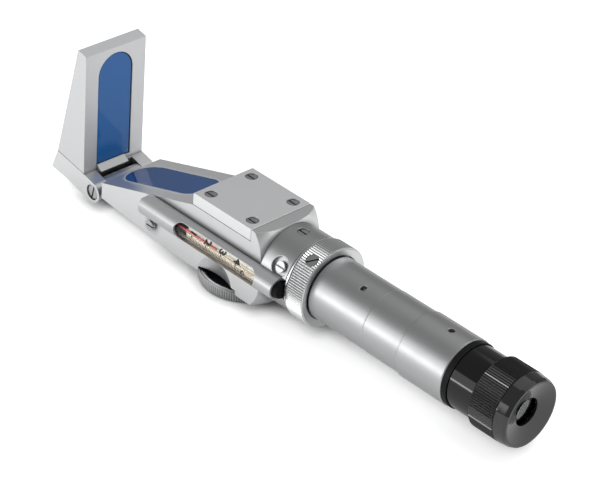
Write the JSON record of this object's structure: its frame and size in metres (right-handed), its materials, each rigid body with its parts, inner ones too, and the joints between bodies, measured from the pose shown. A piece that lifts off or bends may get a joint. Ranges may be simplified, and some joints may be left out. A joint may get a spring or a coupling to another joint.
{
  "type": "analog refractometer",
  "caption": "Hand-held analog refractometer: wedge-shaped prism head with a hinged cover, side thermometer, range selector wheel, adjusting ring, tube and focusing eyepiece.",
  "frame": {"origin": "on the optical axis, in the middle of the front tube section's clamp seat", "axes": "+X along the optical axis towards the eyepiece, +Z out of the top plate, -Y towards the thermometer"},
  "size_m": [0.2414, 0.0388, 0.0663],
  "materials": {
    "satin_aluminium": "fine bead-blasted satin",
    "knurled_aluminium": "turned, straight knurled",
    "screw_steel": "bright nickel plated",
    "spring_bronze": "plain bronze",
    "black_anodised": "matt black anodised",
    "gloss_black": "gloss black",
    "blue_glass": "polished, deep blue",
    "optical_glass": "polished and coated",
    "thermometer_glass": "clear drawn tube",
    "scale_cream": "milk-white enamel",
    "red_spirit": "dyed spirit",
    "black_rubber": "matt black"
  },
  "bodies": {
    "head": {"head_block": "satin_aluminium", "top_plate": "satin_aluminium", "rear_collar": "satin_aluminium", "tube_front": "satin_aluminium", "tube_middle": "satin_aluminium", "tube_rear": "satin_aluminium", "prism_bezel": "satin_aluminium", "thermometer_housing": "satin_aluminium", "plate_screws": "screw_steel", "zero_screw": "screw_steel", "click_screw": "screw_steel", "collar_screws": "screw_steel", "tube_set_screws": "screw_steel", "hinge_screws": "screw_steel", "click_spring": "spring_bronze", "selector_bush": "spring_bronze", "inner_tube": "black_anodised", "objective_cell": "black_anodised", "objective_ring": "black_anodised", "reticle_ring": "black_anodised", "shoulder_ring": "gloss_black", "eyepiece_barrel": "gloss_black", "measuring_prism": "blue_glass", "objective_lens": "optical_glass", "reticle_glass": "optical_glass", "thermometer_glass": "thermometer_glass", "thermometer_capillary": "thermometer_glass", "thermometer_scale": "scale_cream", "spirit_column": "red_spirit", "thermometer_cap": "black_rubber"},
    "cover": {"cover_body": "satin_aluminium", "cover_arm": "satin_aluminium", "cover_screws": "screw_steel", "illuminating_glass": "blue_glass", "glass_lip_bar": "satin_aluminium"},
    "selector": {"selector_wheel": "knurled_aluminium", "selector_screw": "screw_steel", "selector_shaft": "screw_steel", "prism_turret": "black_anodised", "turret_prisms": "optical_glass"},
    "ring": {"adjusting_ring": "knurled_aluminium", "ring_drive_screws": "screw_steel", "compensator_cell": "black_anodised", "compensator_prism": "optical_glass", "compensator_ring": "black_anodised"},
    "ocular": {"ocular_cell": "black_anodised", "field_lens": "optical_glass", "field_lens_ring": "black_anodised", "eye_lens": "optical_glass", "ocular_retainer": "black_anodised"},
    "diopter": {"diopter_ring": "gloss_black", "eyecup": "gloss_black"}
  },
  "joints": [
    {"name": "cover_hinge", "type": "hinge", "parent": "head", "child": "cover", "pos_m": [-0.13325, 0, -0.01275], "axis": [0, 1, 0], "range_deg": [0, 72.6]},
    {"name": "selector_turn", "type": "hinge", "parent": "head", "child": "selector", "pos_m": [-0.05975, 0, 0], "axis": [0, 0, 1], "continuous": true},
    {"name": "ring_turn", "type": "hinge", "parent": "head", "child": "ring", "pos_m": [0, 0, 0], "axis": [1, 0, 0], "range_deg": [-45, 45]},
    {"name": "ocular_slide", "type": "slide", "parent": "head", "child": "ocular", "axis": [1, 0, 0], "range_m": [-0.0015, 0.0015]},
    {"name": "diopter_turn", "type": "hinge", "parent": "ocular", "child": "diopter", "pos_m": [0, 0, 0], "axis": [1, 0, 0], "range_deg": [-180, 180]}
  ],
  "couplings": [
    {"joint": "diopter_turn", "follows": "ocular_slide", "rad_per_m": 2094.4}
  ]
}
